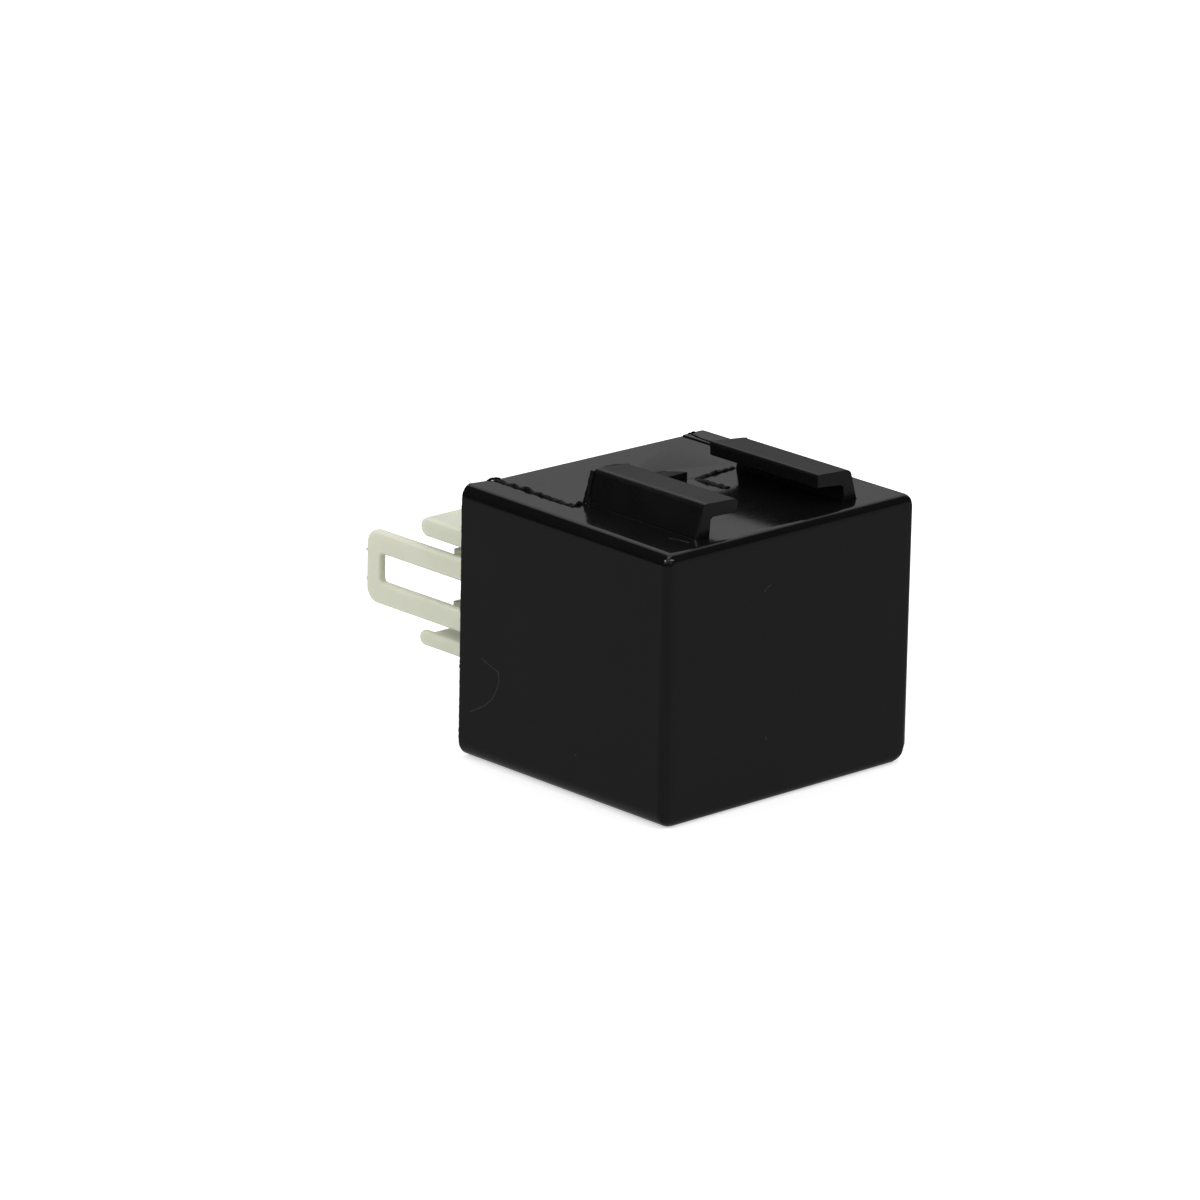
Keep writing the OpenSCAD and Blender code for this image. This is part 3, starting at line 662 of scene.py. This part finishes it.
def true_to_life(mesh):
    """The cap as it came from its mould: smooth corners, leaning rails and the warp."""
    cut_rounds(mesh)
    for vert in mesh.verts:
        p = vert.co / MM
        if p.z > ROOF - CAP_R - NEAR:
            p = tighten(p)
        p = lean_rails(round_corner(p))
        vert.co = (p + warp(p)) * MM


def cap_edges(middle, length):
    """The rails' and catch's edges are soft; the rim's, the step's and the inside's are crisp."""
    if middle.z < ROOF + 0.15 or length < 0.4:
        return 0.0
    worn = middle.x < -8.0 and middle.y < RAIL_START + 0.1
    return 1.0 if worn else UNWORN


def base_edges(middle, length):
    """All that stands out of the base's plate has soft edges."""
    return 1.0 if middle.y > PLATE + 0.1 else 0.0


def walk(points, distance):
    """The point this far along a path."""
    here = points[0]
    for a, b in zip(points, points[1:]):
        span = (b - a).length
        here = a.lerp(b, min(1.0, distance / span))
        if distance <= span:
            break
        distance -= span
    return here


def fin(name, path, out, side, reach, thick, seed, step=0.1, ragged=0.6, grain=1.0):
    """Ragged flash: a thin wedge along a path in mm, standing towards out, as tall as reach(t).

    With a coarse grain its torn faces stay flat."""
    mesh = bmesh.new()
    points = [Vector(p) for p in path]
    total = sum((b - a).length for a, b in zip(points, points[1:]))
    count = max(3, int(total / step))
    out, side = Vector(out).normalized(), Vector(side).normalized()
    rings = []
    for i in range(count + 1):
        along = total * i / count
        at = along * grain
        rough = (noise.noise(Vector((at * 1.3, seed, 0.3)))
                 + 0.6 * noise.noise(Vector((at * 4.7, seed, 2.3))))
        sway = noise.noise(Vector((at * 2.1, seed + 7.0, 1.1)))
        tall = max(0.01, reach(i / count) * (1.0 + ragged * 1.6 * rough))
        wide = thick * max(0.3, 1.0 + ragged * sway)
        lean = side * (thick * 0.6 * sway)
        here = walk(points, along)
        here = here + warp(here)
        foot, shoulder = here - out * 0.04, here + out * tall * 0.6 + lean
        rings.append([mesh.verts.new((p * MM)[:]) for p in
                      (foot - side * wide, shoulder - side * wide * 0.6, here + out * tall + lean,
                       shoulder + side * wide * 0.6, foot + side * wide)])
    size = len(rings[0])
    for a, b in zip(rings, rings[1:]):
        for k in range(size):
            mesh.faces.new((a[k], a[(k + 1) % size], b[(k + 1) % size], b[k]))
    mesh.faces.new(rings[0][::-1])
    mesh.faces.new(rings[-1])
    bmesh.ops.recalc_face_normals(mesh, faces=mesh.faces)
    for face in mesh.faces:
        face.smooth = grain < TORN_GRAIN
    data = bpy.data.meshes.new(name)
    mesh.to_mesh(data)
    mesh.free()
    return bpy.data.objects.new(name, data)


def bell(t, low=0.0, power=0.5):
    """Rises from low to 1 in the middle and back."""
    return low + (1.0 - low) * math.sin(math.pi * min(max(t, 0.0), 1.0)) ** power


def rim_path(inset, samples=10):
    """Just inside the rim's outer edge in mm, from low on the left side to the top of the corner."""
    r = TOP_R
    path = [(inset - SIDE, RIM, z) for z in (1.6, 8.0, 14.0, ROOF - r)]
    for i in range(1, samples + 1):
        a = math.pi / 2 * i / samples
        path.append((r - SIDE - (r - inset) * math.cos(a), RIM, ROOF - r + (r - inset) * math.sin(a)))
    return path


def add_flash(dull):
    """What the mould left: ragged fins round the rim, along the step and at the rails' ends."""
    up, right, rear = (0, 0, 1), (1, 0, 0), (0, 1, 0)
    pieces = [
        fin("rim_flash", rim_path(0.06), rear, (0.7, 0, -0.7), lambda t: 0.07, 0.05, 1.0, step=0.12,
            grain=2.5),
        fin("step_flash_left", [(-10.65, 11.9, ROOF), (-10.6, 10.1, ROOF), (-10.5, 8.4, ROOF),
                                (-10.6, 6.4, ROOF), (-10.62, 4.6, ROOF), (-10.5, 2.5, ROOF)],
            up, right, lambda t: 0.2 * bell(t, 0.6), 0.24, 2.0, step=0.22, ragged=0.55, grain=1.5),
        fin("step_flash_foot", [(-10.5, 2.6, ROOF), (-9.9, 2.75, ROOF), (-9.3, 2.6, ROOF)],
            up, rear, lambda t: 0.2 * bell(t, 0.5), 0.1, 3.0),
        fin("step_flash_right", [(11.6, 12.0, ROOF), (11.3, 10.5, ROOF), (11.25, 9.0, ROOF)],
            up, right, lambda t: 0.08, 0.06, 4.0),
        fin("rim_nub_left", [(-11.3, RIM - 0.05, ROOF), (-10.6, RIM - 0.05, ROOF),
                             (-9.8, RIM - 0.05, ROOF)],
            up, rear, lambda t: 0.16 * bell(t, 0.1), 0.06, 5.0),
        fin("rim_nub_right", [(11.4, RIM - 0.05, ROOF), (12.3, RIM - 0.05, ROOF)],
            up, rear, lambda t: 0.14 * bell(t, 0.1), 0.06, 6.0),
        fin("catch_flash_across", [(2.75, 2.1, ROOF), (4.6, 2.3, ROOF), (7.45, 2.5, ROOF)],
            up, rear, lambda t: 0.2 * bell(t, 0.6), 0.24, 8.0, step=0.22, ragged=0.4, grain=1.5),
        fin("catch_flash_along", [(2.75, 2.1, ROOF), (2.8, 0.4, ROOF), (3.0, -1.3, ROOF)],
            up, right, lambda t: 0.2 * bell(t, 0.6), 0.34, 9.0, step=0.22, ragged=0.4, grain=1.5),
        fin("rail_flash_left", [(-9.12, RAIL_END, ROOF + 0.05), (-8.4, RAIL_END + 0.1, ROOF + 2.7)],
            (-0.25, 1, 0), (0.95, 0.25, -0.3), lambda t: 0.5 - 0.2 * t, 0.07, 10.0, ragged=0.12),
        fin("rail_burr_left", [(-8.0, RAIL_END, ROOF + 2.78), (-6.7, RAIL_END, ROOF + 2.72),
                               (-4.6, RAIL_END, ROOF + 2.62)],
            rear, up, lambda t: 0.6 * bell(t, 0.1, 0.8), 0.05, 11.0, ragged=0.3),
        fin("rail_flash_right", [(4.7, RAIL_END - 0.1, ROOF + 2.8), (8.2, RAIL_END - 0.6, ROOF + 2.6)],
            rear, up, lambda t: 0.06 + 0.2 * t, 0.05, 12.0, ragged=0.25),
    ]
    for piece in pieces:
        ridden(piece, "cap_plastic", dull)


def add_feet(glossy):
    """The small rounds where the rails' outer sides meet the cap, which catch the light."""
    for side, name in ((-1, "rail_foot_left"), (1, "rail_foot_right")):
        x = side * RAIL_OUT
        path = [(x, RAIL_START + 0.05, ROOF), (x, RAIL_END - 0.05, ROOF)]
        foot = fin(name, path, (0.7 * side, 0, 0.7), (0.7, 0, -0.7 * side), lambda t: 0.05, 0.07,
                   20.0 + side, ragged=0.1)
        ridden(foot, "cap_plastic", glossy)


def add_burrs(cream):
    """Two crumbs of flash on the latch loop's free end."""
    for name, z, tall in (("loop_burr_upper", 12.86, 0.16), ("loop_burr_lower", 10.35, 0.08)):
        path = [(-8.95, LOOP_END - 0.14, z - 0.12), (-8.95, LOOP_END - 0.14, z + 0.12)]
        burr = fin(name, path, (-0.7, 0.7, 0), (0.7, 0.7, 0), lambda t: tall * bell(t), 0.08, 31.0,
                   step=0.05)
        ridden(burr, "base_plastic", cream)


def add_mouldings():
    """The cap and the base as moulded, with their flash, in place of the CAD nodes."""
    black = cap_plastic()
    cap = ridden(softened("cap", "cap_moulding", CAP_EDGE, cap_edges, true_to_life), "cap_plastic", black)
    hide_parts("cap")
    add_feet(black)
    cream = base_plastic()
    base = ridden(softened("base", "base_moulding", BASE_EDGE, base_edges), "base_plastic", cream)
    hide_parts("base")
    add_burrs(cream)
    add_flash(flash_plastic())


def dress_works():
    """Blades and inner pieces keep their CAD shape and take their finishes."""
    dress(brushed("tinned_brass", (0.80, 0.79, 0.74), 0.30), "common_terminal", "contact_terminal",
          "coil_terminal_left", "coil_terminal_right", "back_stop")
    dress(bobbin_plastic(), "bobbin")
    dress(enamelled_wire(), "coil_winding", "coil_lead_left", "coil_lead_right")
    dress(brushed("plated_iron", (0.60, 0.58, 0.53), 0.32), "core", "yoke", "armature",
          "armature_rivets")
    dress(brushed("spring_bronze", (0.72, 0.47, 0.25), 0.28), "contact_spring")
    dress(brushed("contact_silver", (0.86, 0.85, 0.82), 0.26, along=0), "moving_contact",
          "fixed_contact")
    dress(resistor_body(), "suppression_resistor")


def main():
    bpy.context.scene.view_settings.view_transform = "Standard"
    set_camera()
    set_world()
    for lamp in LAMPS:
        add_lamp(*lamp)
    add_floor()
    add_mouldings()
    dress_works()


main()
